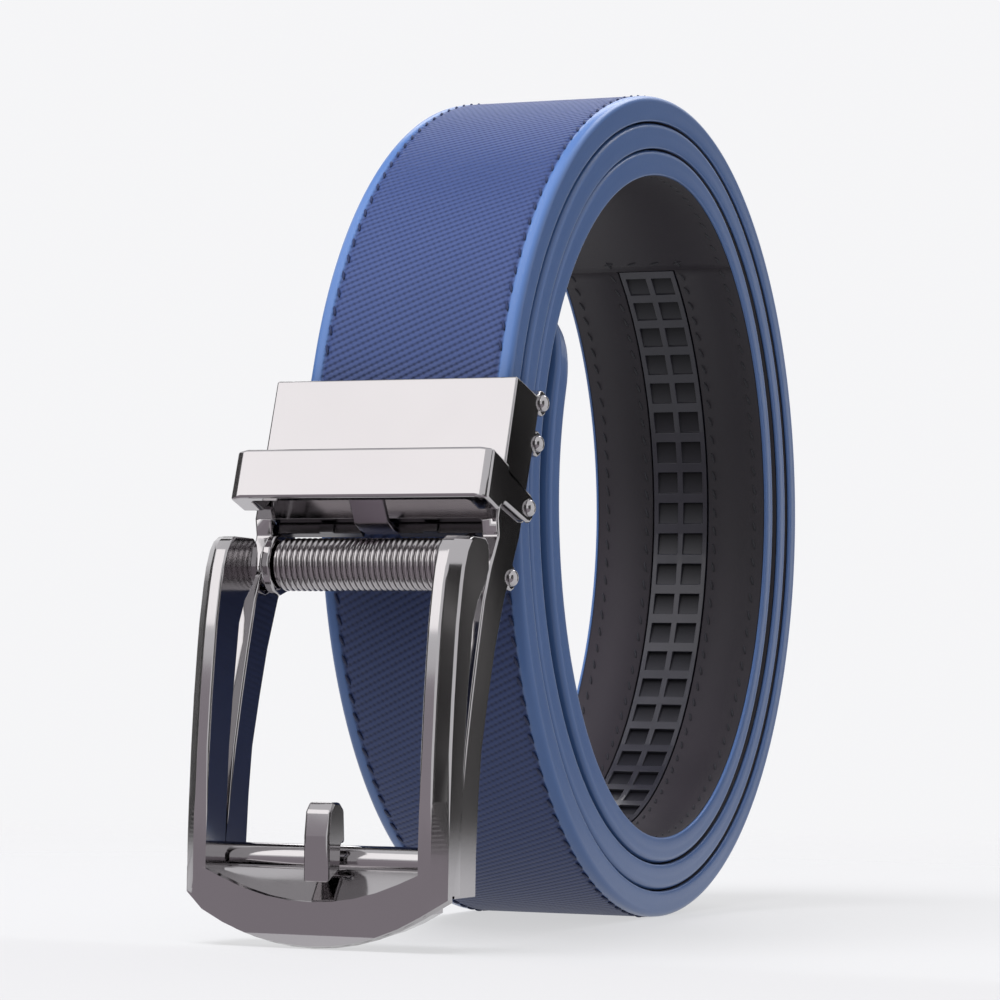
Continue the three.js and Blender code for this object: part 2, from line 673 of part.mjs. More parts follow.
function leverPin() {
  const seat = leverHalfWidth + HEAD_SEAT_GAP;
  const { dome, tip } = domedPin(seat, seat);
  const half = [{ r: PIN_RADIUS, x: seat }, ...dome, tip];
  const other = half.map((p) => ({ r: p.r, x: -p.x })).reverse();
  return turned([...other, ...half], leverPivot);
}

addPiece('lever_pin', leverPin(), GUNMETAL);

function pawl() {
  const outline = [
    clampPoint(pivotAlong, LEVER_PIVOT.out - PAWL_HUB_RADIUS + PIN_HOLE_GAP),
    ...PAWL_OUTLINE.map((p) => clampPoint(coverBottom + p.below, p.out)),
    clampPoint(pivotAlong - PAWL_HUB_RADIUS / 2, LEVER_PIVOT.out + PAWL_HUB_RADIUS / 2),
  ];
  const half = PAWL_WIDTH / 2;
  const hub = toSolid(cylinderX(PAWL_HUB_RADIUS, -half, half, leverPivot));
  const hole = toSolid(cylinderX(PIN_RADIUS + PIN_HOLE_GAP, -half - 1, half + 1, leverPivot));
  return toGeometry(toSolid(sidePlate(outline, -half, half)).add(hub).subtract(hole));
}

addPiece('pawl', pawl(), GUNMETAL);

// Ribbed roller on its pin
function rollerBody() {
  const bore = ROLLER_PIN_RADIUS + ROLLER_BORE_GAP;
  const ribs = Math.floor((2 * ROLLER_HALF_LENGTH) / ROLLER_RIB_PITCH);
  const start = -(ribs * ROLLER_RIB_PITCH) / 2;
  const valley = ROLLER_RADIUS - ROLLER_RIB_DEPTH;
  const profile = [{ r: bore, x: -ROLLER_HALF_LENGTH }, { r: valley, x: -ROLLER_HALF_LENGTH }];
  for (let k = 0; k < ribs; k += 1) {
    profile.push({ r: valley, x: start + (k + 0.02) * ROLLER_RIB_PITCH });
    profile.push({ r: ROLLER_RADIUS, x: start + (k + 0.5) * ROLLER_RIB_PITCH });
  }
  profile.push({ r: valley, x: ROLLER_HALF_LENGTH }, { r: bore, x: ROLLER_HALF_LENGTH });
  profile.push({ r: bore, x: -ROLLER_HALF_LENGTH });
  return turned(profile, rollerAxis);
}

addPiece('roller', rollerBody(), GUNMETAL);

const rollerPinHalf = ROLLER_HALF_LENGTH + ROLLER_END_GAP + ROLLER_PIN_SEAT;
addPiece('roller_pin', cylinderX(ROLLER_PIN_RADIUS, -rollerPinHalf, rollerPinHalf, rollerAxis), GUNMETAL);

// Domed rivets in the side walls
function rivet(centre, hand) {
  const seat = HOUSING_HALF_WIDTH + HEAD_SEAT_GAP;
  const { dome, tip } = domedPin(seat, seat);
  const profile = [{ r: 0, x: rivetRoot }, { r: PIN_RADIUS, x: rivetRoot }, { r: PIN_RADIUS, x: seat }, ...dome, tip];
  const handed = hand < 0 ? profile.map((p) => ({ r: p.r, x: -p.x })).reverse() : profile;
  return turned(handed, centre);
}

const rivets = { upper: upperRivet, middle: middleRivet, lower: lowerRivet };
Object.entries(rivets).forEach(([place, centre]) => {
  addPiece(`rivet_${place}_left`, rivet(centre, -1), GUNMETAL);
  addPiece(`rivet_${place}_right`, rivet(centre, 1), GUNMETAL);
});

// Fixed prong tip on the crossbar
const prongBase = crossbarTop + PRONG_SEAT_GAP;
const prongOutline = PRONG_OUTLINE.map((p) => {
  return { y: framePoint(0, p.reach).y, z: prongBase + p.rise * FRAME_LENGTH };
}).reverse();
addPiece('prong_tip', sidePlate(prongOutline, -PRONG_WIDTH / 2, PRONG_WIDTH / 2), GUNMETAL);

export default belt;
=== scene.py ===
import math
import bmesh
import bpy
import numpy as np
from mathutils import Matrix, Vector


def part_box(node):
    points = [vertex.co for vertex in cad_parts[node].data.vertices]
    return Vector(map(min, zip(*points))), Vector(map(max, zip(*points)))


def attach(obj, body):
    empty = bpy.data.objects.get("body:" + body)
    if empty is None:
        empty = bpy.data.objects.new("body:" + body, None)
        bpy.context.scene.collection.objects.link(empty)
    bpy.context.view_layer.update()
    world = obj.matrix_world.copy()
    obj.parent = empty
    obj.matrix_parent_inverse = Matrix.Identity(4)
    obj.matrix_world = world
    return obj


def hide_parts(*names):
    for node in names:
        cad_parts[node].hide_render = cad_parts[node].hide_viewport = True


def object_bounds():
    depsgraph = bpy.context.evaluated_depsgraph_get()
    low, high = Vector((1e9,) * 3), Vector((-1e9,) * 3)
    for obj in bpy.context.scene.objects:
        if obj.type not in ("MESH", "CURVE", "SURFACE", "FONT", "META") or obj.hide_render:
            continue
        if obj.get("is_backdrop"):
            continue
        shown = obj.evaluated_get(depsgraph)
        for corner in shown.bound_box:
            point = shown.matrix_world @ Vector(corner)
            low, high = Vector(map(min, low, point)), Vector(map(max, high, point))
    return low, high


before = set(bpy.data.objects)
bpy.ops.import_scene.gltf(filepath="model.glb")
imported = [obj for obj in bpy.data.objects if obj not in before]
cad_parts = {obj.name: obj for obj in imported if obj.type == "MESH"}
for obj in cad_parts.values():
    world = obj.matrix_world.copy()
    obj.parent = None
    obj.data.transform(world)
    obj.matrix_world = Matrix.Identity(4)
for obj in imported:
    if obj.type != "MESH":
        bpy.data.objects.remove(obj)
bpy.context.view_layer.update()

# The strap: one length of leather, 35 mm wide, with a grain pressed into its face in slanting rows.
# Its edges are sealed with smooth paint, a groove for the thread runs along each side, and it is rolled
# up in three turns and a bit, from the clamp over the top and on inwards to the free tail.
MM = 0.001
STRAP_HALF_WIDTH = 17.5
STRAP_THICKNESS = 4.5
LAYER_PITCH = 4.7
LINING_DEPTH = 3.45
COIL_REACH = 72.45
CAD_STEPS = 64
COIL_CENTRE = COIL_REACH * math.cos(math.pi / CAD_STEPS)
COIL_SIDES = (
    {"side": "front", "outermost": 79.2, "slack": (0.4, 0.02, 0.9)},
    {"side": "back", "outermost": 75.3, "slack": (0.48, 0.72)},
)
COIL_START = 0.042
COIL_END = 3.092
COIL_STEPS = 200
CLAMP_LEAN = math.radians(18)
CLAMP_GRIP = 20
TAIL_LENGTH = 16
TAIL_TIP = 9
GROOVE = 15.1
GRAIN_ROW_PITCH = 1.25
GRAIN_ROW_SLANT = 0.5
GRAIN_DASH_PITCH = 1.05
GRAIN_DASH_SLANT = 0.55


def quarter_reach(quarter):
    turn, side = divmod(quarter, 4)
    if side in (1, 3):
        return COIL_REACH - turn * LAYER_PITCH
    reach = COIL_SIDES[side // 2]
    return reach["outermost"] - turn * LAYER_PITCH - sum(reach["slack"][:turn]) * STRAP_THICKNESS


def outer_point(turn):
    quarter = math.floor(turn * 4 + 1e-9)
    angle = turn * 2 * math.pi
    ends = quarter_reach(quarter), quarter_reach(quarter + 1)
    across, up = ends if quarter % 2 == 0 else ends[::-1]
    share = math.hypot(math.cos(angle) / across, math.sin(angle) / up)
    return np.array([-math.cos(angle), math.sin(angle)]) / share + (0, COIL_CENTRE)


def outward(turn):
    run = outer_point(turn + 0.002) - outer_point(turn - 0.002)
    return np.array([-run[1], run[0]]) / np.hypot(*run)


entry = outer_point(COIL_START)
down_cover = -np.array([math.sin(CLAMP_LEAN), math.cos(CLAMP_LEAN)])
out_of_cover = np.array([-math.cos(CLAMP_LEAN), math.sin(CLAMP_LEAN)])
turns = np.linspace(COIL_START, COIL_END, round((COIL_END - COIL_START) * COIL_STEPS))
path = [entry + down_cover * CLAMP_GRIP, *(outer_point(t) for t in turns)]
face_out = [out_of_cover, *(outward(t) for t in turns)]
path = np.array(path)
face_out = np.array(face_out)
path_length = np.concatenate([[0], np.cumsum(np.hypot(*np.diff(path, axis=0).T))])
strap_length = path_length[-1]


def tail_share(length):
    """The strap's half width at a length, as a share of the full one: it narrows in a quarter oval."""
    beyond = np.clip((length - (strap_length - TAIL_LENGTH)) / TAIL_LENGTH, 0, 1)
    tip = TAIL_TIP / STRAP_HALF_WIDTH
    return tip + (1 - tip) * np.sqrt(1 - beyond * beyond)


def along_strap(lengths):
    """Places and outward directions at these lengths, each as rows of Y and Z."""
    place = np.stack([np.interp(lengths, path_length, path[:, k]) for k in (0, 1)], 1)
    out = np.stack([np.interp(lengths, path_length, face_out[:, k]) for k in (0, 1)], 1)
    return place, out / np.hypot(out[:, 0], out[:, 1])[:, None]


def strip_mesh(name, lengths, section, painted):
    """A closed strip along the strap: section holds points of { across, depth below the outer face }."""
    place, out = along_strap(lengths)
    section = np.array(section, float)
    share = tail_share(lengths)
    count, size = len(lengths), len(section)
    across = section[None, :, 0] * share[:, None]
    low = place[:, None, :] - out[:, None, :] * section[None, :, 1, None]
    points = np.concatenate([across[..., None], low], 2).reshape(-1, 3)
    points[:, 2] = np.maximum(points[:, 2], 0)
    faces = []
    for k in range(count - 1):
        for i in range(size):
            a, b = k * size + i, k * size + (i + 1) % size
            faces.append((a, b, b + size, a + size))
    faces.append(tuple(range(size))[::-1])
    faces.append(tuple(range((count - 1) * size, count * size)))
    mesh = bpy.data.meshes.new(name)
    mesh.from_pydata((points * MM).tolist(), [], faces)
    values = {
        "along": np.repeat(lengths, size),
        "across": np.tile(section[:, 0], count),
        "painted": np.tile(np.array(painted, float), count),
    }
    for key, numbers in values.items():
        attribute = mesh.attributes.new(key, "FLOAT", "POINT")
        attribute.data.foreach_set("value", numbers.astype(np.float32))
    mesh.polygons.foreach_set("use_smooth", [True] * (len(faces) - 2) + [False] * 2)
    return mesh


def outwards(mesh):
    """Turns a closed mesh's faces to point out."""
    work = bmesh.new()
    work.from_mesh(mesh)
    bmesh.ops.recalc_face_normals(work, faces=work.faces)
    work.to_mesh(mesh)
    work.free()
    return mesh


def put_in_scene(name, data):
    thing = bpy.data.objects.new(name, data)
    bpy.context.scene.collection.objects.link(thing)
    return thing


def show(name, mesh, material, *nodes, slot, body="belt"):
    """Puts a finished piece in the scene, riding on a body and standing for CAD nodes."""
    piece = put_in_scene(name, mesh)
    mesh.materials.clear()
    mesh.materials.append(material)
    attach(piece, body)
    if nodes:
        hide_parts(*nodes)


class Value:
    """A number that changes over a surface. Python maths on it adds Math nodes."""

    def __init__(self, tree, socket):
        self.tree = tree
        self.socket = socket

    def math(self, operation, *others):
        values = dict(enumerate((self, *others)))
        return add_node(self.tree, "ShaderNodeMath", {"operation": operation}, values)

    def __add__(self, other):
        return self.math("ADD", other)

    def __sub__(self, other):
        return self.math("SUBTRACT", other)

    def __mul__(self, other):
        return self.math("MULTIPLY", other)

    def __truediv__(self, other):
        return self.math("DIVIDE", other)

    def __rsub__(self, other):
        return self.math("MULTIPLY", -1).math("ADD", other)

    __radd__ = __add__


def add_node(tree, kind, settings, values, output=0):
    """A node with its settings made first, then its sockets' values or links."""
    node = tree.nodes.new(kind)
    for key, setting in settings.items():
        setattr(node, key, setting)
    for key, value in values.items():
        if isinstance(value, Value):
            tree.links.new(value.socket, node.inputs[key])
        else:
            node.inputs[key].default_value = value
    return Value(tree, node.outputs[output])


def socket_name(key):
    return key.replace("_", " ").title().replace("Ior", "IOR")


def new_finish(name, **fixed):
    """A material and its one shader, with the sockets that are the same all over set on it."""
    material = bpy.data.materials.new(name)
    material.use_nodes = True
    tree = material.node_tree
    shader = tree.nodes["Principled BSDF"]
    for key, value in fixed.items():
        shader.inputs[socket_name(key)].default_value = value
    return material, tree, shader


def feed(tree, shader, **varying):
    """Links what changes over a surface to the shader's sockets."""
    for key, value in varying.items():
        tree.links.new(value.socket, shader.inputs[socket_name(key)])


def bump(tree, height, strength, distance):
    values = {"Strength": strength, "Distance": distance, "Height": height}
    return add_node(tree, "ShaderNodeBump", {}, values)


def attribute(tree, name):
    return add_node(tree, "ShaderNodeAttribute", {"attribute_name": name}, {}, "Fac")


def object_place(tree):
    return add_node(tree, "ShaderNodeTexCoord", {}, {}, "Object")


def object_noise(tree, scale, detail):
    values = {"Vector": object_place(tree), "Scale": scale, "Detail": detail}
    return add_node(tree, "ShaderNodeTexNoise", {}, values)


def ripple(distance, pitch):
    """Rises and falls between 0 and 1, once in each pitch."""
    return (distance * (2 * math.pi / pitch)).math("COSINE") * 0.5 + 0.5


def mix_colours(tree, share, first, second):
    node = tree.nodes.new("ShaderNodeMix")
    node.data_type = "RGBA"
    for index, value in ((0, share), (6, first), (7, second)):
        if isinstance(value, Value):
            tree.links.new(value.socket, node.inputs[index])
        else:
            node.inputs[index].default_value = value if index == 0 else (*value, 1)
    return Value(tree, node.outputs[2])


def leather_finish():
    material, tree, shader = new_finish("strap_leather", specular_ior_level=0.34, coat_roughness=0.22)
    along, across = attribute(tree, "along"), attribute(tree, "across")
    painted = attribute(tree, "painted")
    row = ripple(along - across * GRAIN_ROW_SLANT, GRAIN_ROW_PITCH)
    dash = ripple(along * GRAIN_DASH_SLANT + across, GRAIN_DASH_PITCH)
    notch = row.math("POWER", 0.8) * dash.math("POWER", 1.6) * 0.45
    cut = (notch + row.math("POWER", 2.0) * 0.6).math("MINIMUM", 1.0) * (1 - painted)
    patch = object_noise(tree, 38.0, 3.0)
    grain = object_noise(tree, 2600.0, 2.0)
    face = mix_colours(tree, patch, (0.018, 0.033, 0.103), (0.026, 0.043, 0.126))
    face = mix_colours(tree, cut * 0.7, face, (0.006, 0.010, 0.036))
    paint = mix_colours(tree, patch, (0.040, 0.088, 0.222), (0.050, 0.104, 0.252))
    colour = mix_colours(tree, painted, face, paint)
    roughness = 0.42 + cut * 0.12 - painted * 0.12 + grain * 0.08
    relief = bump(tree, (1 - cut) + grain * 0.12, 0.75, 0.00014)
    feed(tree, shader, base_color=colour, coat_weight=painted * 0.25, roughness=roughness, normal=relief)
    return material


def arc(centre, radius, start, end, steps):
    angles = np.radians(np.linspace(start, end, steps))
    return [(centre[0] + radius * math.cos(a), centre[1] - radius * math.sin(a)) for a in angles]


def strap_section():
    """Half a section from the middle of the face round the edge, then mirrored. 1 marks painted points."""
    face = [(0, 0, 0), (5, 0, 0), (10, 0, 0), (13.8, 0, 0), (14.6, 0.03, 0), (14.88, 0.16, 0)]
    face += [(GROOVE, 0.24, 0), (15.32, 0.16, 0.3), (15.6, 0.02, 1), (15.95, 0, 1), (16.3, 0.04, 1)]
    edge = [(x, y, 1) for x, y in arc((16.45, 1.1), 1.05, 78, 0, 6)]
    edge += [(17.44, 1.9, 1), (17.5, 2.4, 1), (17.5, 3.6, 1)]
    edge += [(x, y, 1) for x, y in arc((17.1, 4.09), 0.4, 0, -90, 5)]
    right = face + edge + [(16.98, 4.49, 1), (16.95, LINING_DEPTH, 1)]
    left = [(-x, y, paint) for x, y, paint in reversed(right[1:])]
    return right + left


section = strap_section()
tail_lengths = strap_length - TAIL_LENGTH * np.array([0.7, 0.5, 0.3, 0.2, 0.12, 0.06, 0.025])
whole_steps = path_length[path_length < strap_length - 1]
strap_lengths = np.unique(np.concatenate([whole_steps, tail_lengths, [strap_length]]))
outline, painted_share = [p[:2] for p in section], [p[2] for p in section]
strap_mesh = outwards(strip_mesh("strap", strap_lengths, outline, painted_share))
show("strap_leather_body", strap_mesh, leather_finish(), "strap", slot="strap_leather")

# The lining: a smooth charcoal layer glued to the strap's inner face, with a long slot for the track.
# It stops short of the painted edges, and its own edge is rolled slightly.
LINING_HALF_WIDTH = 16.9
LINING_THICKNESS = 1.0
LINING_EDGE = 0.15
TRACK_BACK_TURN = 2.35
TRACK_WIDTH = 10.8
TOOTH_PITCH = 6.35
TOOTH_COUNT = 37
TRACK_BAR = 1.9
SLOT_GAP = 0.3


def lining_finish():
    material, tree, shader = new_finish("strap_lining", specular_ior_level=0.4)
    patch = object_noise(tree, 55.0, 4.0)
    pores = object_noise(tree, 3200.0, 3.0)
    colour = mix_colours(tree, patch, (0.012, 0.010, 0.014), (0.022, 0.018, 0.024))
    roughness = 0.5 + patch * 0.12 + pores * 0.06
    feed(tree, shader, base_color=colour, roughness=roughness, normal=bump(tree, pores, 0.4, 0.00006))
    return material


def cad_track_start():
    """The length at which the CAD track's first bar lies, found from the turn it starts at."""
    step = math.ceil(TRACK_BACK_TURN * CAD_STEPS - 0.5)
    return float(np.interp((step + 0.5) / CAD_STEPS, turns, path_length[1:]))


track_start = cad_track_start()
track_end = track_start + TOOTH_COUNT * TOOTH_PITCH + TRACK_BAR
slot_half = TRACK_WIDTH / 2 + SLOT_GAP
top, bottom = LINING_DEPTH + 0.03, LINING_DEPTH + LINING_THICKNESS + 0.05


def lining_band(name, start, end, inner, outer):
    """One band of lining between two lengths and two distances across, with softened long edges."""
    inside = strap_lengths[(strap_lengths > start + 0.3) & (strap_lengths < end - 0.3)]
    lengths = np.concatenate([[start], inside, [end]])
    low = bottom - LINING_EDGE
    ring = [(inner, top), (inner, low), (inner + LINING_EDGE, bottom)]
    ring += [(outer - LINING_EDGE, bottom), (outer, low), (outer, top)]
    return strip_mesh(name, lengths, ring, [0] * 6)


lining_end = strap_length - 0.6
slot_start, slot_end = track_start - SLOT_GAP, track_end + SLOT_GAP
bands = [
    lining_band("before", CLAMP_GRIP + 0.1, slot_start, -LINING_HALF_WIDTH, LINING_HALF_WIDTH),
    lining_band("left", slot_start, slot_end, -LINING_HALF_WIDTH, -slot_half),
    lining_band("right", slot_start, slot_end, slot_half, LINING_HALF_WIDTH),
    lining_band("after", slot_end, lining_end, -LINING_HALF_WIDTH, LINING_HALF_WIDTH),
]


def join(name, meshes):
    work = bmesh.new()
    for mesh in meshes:
        work.from_mesh(mesh)
    whole = bpy.data.meshes.new(name)
    work.to_mesh(whole)
    work.free()
    return whole


lining_mesh = join("lining", [outwards(mesh) for mesh in bands])
show("strap_lining_leather", lining_mesh, lining_finish(), "strap_lining", slot="strap_lining")

# The stitching: waxed thread in two rows along the strap's face, two along its lining, and one round
# the track. Each stitch is a short slanting bead of thread that dips into its holes.
STITCH_PITCH = 3.5
STITCH_LENGTH = 2.1
STITCH_SLANT = 0.3
THREAD_WIDTH = 0.5
ROW_START = CLAMP_GRIP + 1
ROW_END = strap_length - 3
ROW_INSET_LINING = 15.0
TRACK_ROW = 6.9


def thread_finish(name, dark, light):
    material, tree, shader = new_finish(name, roughness=0.6)
    wave = object_noise(tree, 4200.0, 1.0)
    colour = mix_colours(tree, wave, dark, light)
    feed(tree, shader, base_color=colour, normal=bump(tree, wave, 0.5, 0.00006))
    return material


def row_mesh(name, rows):
    """Lines that the thread follows, with the direction that faces out of the leather at each point."""
    points, edges, facing = [], [], []
    for lengths, across, depth, inner in rows:
        place, out = along_strap(lengths)
        spots = place - out * depth
        first = len(points)
        sideways = np.broadcast_to(across, len(lengths))
        points += [(x * MM, y * MM, z * MM) for x, (y, z) in zip(sideways, spots)]
        facing += [(0, *(-o if inner else o)) for o in out]
        edges += [(k, k + 1) for k in range(first, len(points) - 1)]
    mesh = bpy.data.meshes.new(name)
    mesh.from_pydata(points, edges, [])
    mesh.attributes.new("facing", "FLOAT_VECTOR", "POINT")
    mesh.attributes["facing"].data.foreach_set("vector", np.array(facing, np.float32).ravel())
    return mesh


def open_tree(name, inputs):
    """A Geometry Nodes tree with a geometry input and output, and named inputs of these kinds."""
    tree = bpy.data.node_groups.new(name, "GeometryNodeTree")
    for label, kind in {"Geometry": "Geometry", **inputs}.items():
        tree.interface.new_socket(label, in_out="INPUT", socket_type="NodeSocket" + kind)
    tree.interface.new_socket("Geometry", in_out="OUTPUT", socket_type="NodeSocketGeometry")
    given = tree.nodes.new("NodeGroupInput")
    return tree, {socket.name: Value(tree, socket) for socket in given.outputs if socket.name}


def close_tree(tree, geometry, material):
    whole = add_node(tree, "GeometryNodeRealizeInstances", {}, {"Geometry": geometry})
    finished = add_node(tree, "GeometryNodeSetMaterial", {}, {"Geometry": whole, "Material": material})
    out = tree.nodes.new("NodeGroupOutput")
    tree.links.new(finished.socket, out.inputs[0])


def grown(name, mesh, tree, sizes):
    """Runs a tree on a mesh and returns the plain mesh that comes out."""
    holder = put_in_scene(name, mesh)
    modifier = holder.modifiers.new(name, "NODES")
    modifier.node_group = tree
    for item in tree.interface.items_tree:
        if item.in_out == "INPUT" and item.name in sizes:
            modifier[item.identifier] = sizes[item.name]
    bpy.context.view_layer.update()
    graph = bpy.context.evaluated_depsgraph_get()
    result = bpy.data.meshes.new_from_object(holder.evaluated_get(graph))
    holder.modifiers.clear()
    bpy.data.objects.remove(holder)
    result.name = name
    return result


def stitch_tree(material):
    kinds = dict.fromkeys(("Pitch", "Length", "Width", "Slant"), "Float")
    tree, given = open_tree("stitches", kinds)
    line = add_node(tree, "GeometryNodeMeshToCurve", {}, {"Mesh": given["Geometry"]})
    values = {"Curve": line, "Length": given["Pitch"]}
    spaced = add_node(tree, "GeometryNodeResampleCurve", {"mode": "LENGTH"}, values)
    tangent = add_node(tree, "GeometryNodeInputTangent", {}, {})
    settings = {"data_type": "FLOAT_VECTOR"}
    facing = add_node(tree, "GeometryNodeInputNamedAttribute", settings, {"Name": "facing"})
    turn = add_node(tree, "FunctionNodeAlignRotationToVector", {"axis": "X"}, {"Vector": tangent})
    settings = {"axis": "Z", "pivot_axis": "X"}
    values = {"Rotation": turn, "Vector": facing}
    turn = add_node(tree, "FunctionNodeAlignRotationToVector", settings, values)
    slant = add_node(tree, "ShaderNodeCombineXYZ", {}, {"Z": given["Slant"]})
    values = {"Rotation": turn, "Rotate By": slant}
    slanted = add_node(tree, "FunctionNodeRotateRotation", {"rotation_space": "LOCAL"}, values)
    bead = add_node(tree, "GeometryNodeMeshUVSphere", {}, {"Segments": 8, "Rings": 6, "Radius": 0.5})
    values = {"X": given["Length"], "Y": given["Width"], "Z": given["Width"]}
    long = add_node(tree, "ShaderNodeCombineXYZ", {}, values)
    bead = add_node(tree, "GeometryNodeTransform", {}, {"Geometry": bead, "Scale": long})
    bead = add_node(tree, "GeometryNodeSetShadeSmooth", {}, {"Geometry": bead})
    values = {"Points": spaced, "Instance": bead, "Rotation": slanted}
    close_tree(tree, add_node(tree, "GeometryNodeInstanceOnPoints", {}, values), material)
    return tree


def full_rows(start, end, across, depth, inner):
    lengths = np.arange(start, end, 1.5)
    share = tail_share(lengths)
    return [(lengths, side * across * share, depth, inner) for side in (-1, 1)]


face_thread = thread_finish("face_thread", (0.004, 0.008, 0.035), (0.012, 0.022, 0.075))
face_rows = full_rows(ROW_START, ROW_END, GROOVE, 0.02, False)
sizes = {"Pitch": STITCH_PITCH * MM, "Length": STITCH_LENGTH * MM, "Width": THREAD_WIDTH * MM}
sizes["Slant"] = STITCH_SLANT
mesh = grown("face_stitches", row_mesh("face_rows", face_rows), stitch_tree(face_thread), sizes)
show("face_stitches", mesh, face_thread, slot="strap_leather")

lining_thread = thread_finish("lining_thread", (0.006, 0.006, 0.010), (0.016, 0.016, 0.022))
inner_rows = full_rows(ROW_START, ROW_END, ROW_INSET_LINING, bottom, True)
track_lengths = np.arange(track_start - 2.2, track_end + 2.2, 1.5)
inner_rows += [(track_lengths, side * TRACK_ROW, bottom, True) for side in (-1, 1)]
end_row = np.linspace(-TRACK_ROW, TRACK_ROW, 9)
inner_rows += [(np.full(9, track_start - 2.4), end_row, bottom, True)]
mesh = grown("lining_stitches", row_mesh("inner_rows", inner_rows), stitch_tree(lining_thread), sizes)
show("lining_stitches", mesh, lining_thread, slot="strap_lining")

# The track: a strip of black plastic in the lining's slot, moulded with two columns of pockets between
# a spine and two rails. Each pocket has a low step half way, and the bars between pockets catch the pawl.
TRACK_THICKNESS = 1.0
TRACK_FLOOR = 0.35


def track_finish():
    material, tree, shader = new_finish("track_plastic", specular_ior_level=0.15, coat_roughness=0.16)
    patch = object_noise(tree, 180.0, 3.0)
    fine = object_noise(tree, 5200.0, 2.0)
    raised = attribute(tree, "raised")
    colour = mix_colours(tree, patch, (0.014, 0.014, 0.020), (0.028, 0.027, 0.036))
    # Painted shade: the pockets' floors are mixed towards near black by the raised share, darker than the
    # plastic itself.
    colour = mix_colours(tree, raised, (0.001, 0.001, 0.002), colour)
    roughness = 0.55 - raised * 0.2 + patch * 0.12
    relief = bump(tree, fine, 0.25, 0.00004)
    feed(tree, shader, base_color=colour, roughness=roughness, coat_weight=raised * 0.55, normal=relief)
    return material


def worked_copy(name, node, bevel, steps=2, sharp=32, above=None):
    """A copy of a CAD node's mesh with its faces merged and its edges rounded, as tumbling leaves them.

    With a height, only the edges above it are rounded, and those to their full width.
    """
    work = bmesh.new()
    work.from_mesh(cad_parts[node].data)
    bmesh.ops.remove_doubles(work, verts=work.verts, dist=2e-6)
    bmesh.ops.dissolve_limit(work, angle_limit=math.radians(0.6), verts=work.verts, edges=work.edges)
    weight = work.edges.layers.float.new("bevel_weight_edge")
    for edge in work.edges:
        bottom = min(vertex.co.z for vertex in edge.verts) / MM
        if edge.calc_face_angle() > math.radians(sharp) and (above is None or bottom > above):
            edge[weight] = 1.0
    mesh = bpy.data.meshes.new(name)
    work.to_mesh(mesh)
    work.free()
    mesh.polygons.foreach_set("use_smooth", [True] * len(mesh.polygons))
    mesh.set_sharp_from_angle(angle=math.radians(sharp))
    holder = put_in_scene(name, mesh)
    rounding = holder.modifiers.new("edges", "BEVEL")
    rounding.width = bevel * MM
    rounding.segments = steps
    rounding.limit_method = "WEIGHT"
    rounding.miter_outer = "MITER_ARC"
    rounding.use_clamp_overlap = above is None
    flats = holder.modifiers.new("flats", "WEIGHTED_NORMAL")
    flats.keep_sharp = True
    flats.weight = 100
    graph = bpy.context.evaluated_depsgraph_get()
    result = bpy.data.meshes.new_from_object(holder.evaluated_get(graph))
    bpy.data.objects.remove(holder)
    return result


def mark_raised(mesh):
    """Marks each point from 0 on the pockets' floors to 1 on the rails, by its depth; the track's colour
    uses it to paint shade into the pockets.
    """
    spots = np.array([vertex.co for vertex in mesh.vertices])[:, 1:] / MM
    place, out = along_strap(np.arange(track_start - 3, track_end + 3, 0.2))
    apart = np.hypot(*(spots[:, None] - place[None]).transpose(2, 0, 1))
    nearest = apart.argmin(1)
    depth = ((place[nearest] - spots) * out[nearest]).sum(1)
    share = np.clip((depth - depth.min() - TRACK_FLOOR) / (TRACK_THICKNESS - TRACK_FLOOR), 0, 1)
    raised = mesh.attributes.new("raised", "FLOAT", "POINT")
    raised.data.foreach_set("value", share.astype(np.float32))


track = worked_copy("track", "ratchet_track", 0.12)
mark_raised(track)
show("ratchet_track_moulding", track, track_finish(), "ratchet_track", slot="track_plastic")

# The buckle casting: cover plate, side walls, legs, hooked arms, bow and crossbar in one zinc casting,
# polished and plated in a dark gunmetal that mirrors the room.


def gunmetal_finish(name, colour, low_roughness):
    material, tree, shader = new_finish(name, metallic=1.0)
    patch = object_noise(tree, 60.0, 2.0)
    tint = mix_colours(tree, patch, colour, tuple(c * 0.93 for c in colour))
    relief = bump(tree, object_noise(tree, 240.0, 1.0), 0.06, 0.00004)
    feed(tree, shader, base_color=tint, roughness=low_roughness + patch * 0.05, normal=relief)
    return material


METAL_SHARP = 40
BOW_TOP = 18
gunmetal = gunmetal_finish("gunmetal", (0.46, 0.445, 0.455), 0.07)
casting = worked_copy("casting", "buckle_body", 0.35, 3, METAL_SHARP, above=BOW_TOP)
show("buckle_casting", casting, gunmetal, "buckle_body", slot="buckle_metal")

# The clamp's plates behind the cover, in blackened steel: a jaw that bites the strap's end, with a slot for
# the pawl and two small square lugs under the cover's edge, and a thin base plate behind the strap.
blackened = gunmetal_finish("blackened_steel", (0.10, 0.095, 0.10), 0.22)
for node in ("clamp_jaw", "clamp_base_plate"):
    show(node + "_plated", worked_copy(node, node, 0.12), blackened, node, slot="buckle_metal")

# The release lever: a keeper-shaped bar over the cover, with slanting corners and softened edges. It
# turns on two ears that hang on the cross pin.
lever = worked_copy("lever", "release_lever", 0.45, 3, METAL_SHARP, above=0)
show("release_lever_polished", lever, gunmetal, "release_lever", body="lever", slot="buckle_metal")

# The pawl: a finger of hardened steel on the lever's pin, which catches the track's bars. It is a little
# duller than the plating around it.
dull = gunmetal_finish("pawl_steel", (0.33, 0.30, 0.33), 0.22)
show("pawl_finger", worked_copy("pawl", "pawl", 0.25), dull, "pawl", slot="buckle_metal")

